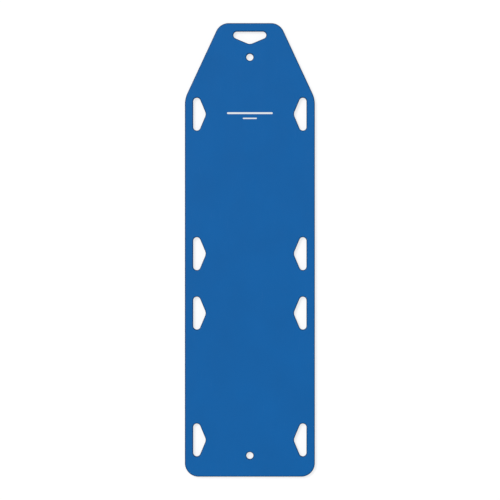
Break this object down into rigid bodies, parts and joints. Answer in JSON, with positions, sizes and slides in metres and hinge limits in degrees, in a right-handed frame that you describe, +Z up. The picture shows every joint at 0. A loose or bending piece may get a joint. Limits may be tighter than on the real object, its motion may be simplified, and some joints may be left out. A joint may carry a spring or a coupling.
{
  "type": "spine board",
  "caption": "Flat rescue board for carrying a lying person, with tapered head end, rounded grip openings along its edges and a round tether hole near each end.",
  "frame": {"origin": "middle of the underside, on the surface that the board lies on", "axes": "+X to the right in the picture, +Y along the board to its head end, +Z up to the upper face"},
  "size_m": [0.5, 1.745, 0.02],
  "materials": {
    "sheet": "fine matte grain, polished a little where it is handled",
    "solid": "machined solid plastic",
    "foam": "closed-cell foam",
    "pultrusion": "glass-fibre pultrusion"
  },
  "bodies": {
    "root": {"bottom_skin": "sheet", "foam_core": "foam", "foot_rim": "solid", "foot_tether_boss": "solid", "head_grip_block": "solid", "head_rim": "solid", "head_tether_boss": "solid", "left_ankle_grip_block": "solid", "left_rail": "pultrusion", "left_rim": "solid", "left_shoulder_grip_block": "solid", "left_thigh_grip_block": "solid", "left_waist_grip_block": "solid", "right_ankle_grip_block": "solid", "right_rail": "pultrusion", "right_rim": "solid", "right_shoulder_grip_block": "solid", "right_thigh_grip_block": "solid", "right_waist_grip_block": "solid", "top_skin": "sheet"}
  },
  "joints": []
}
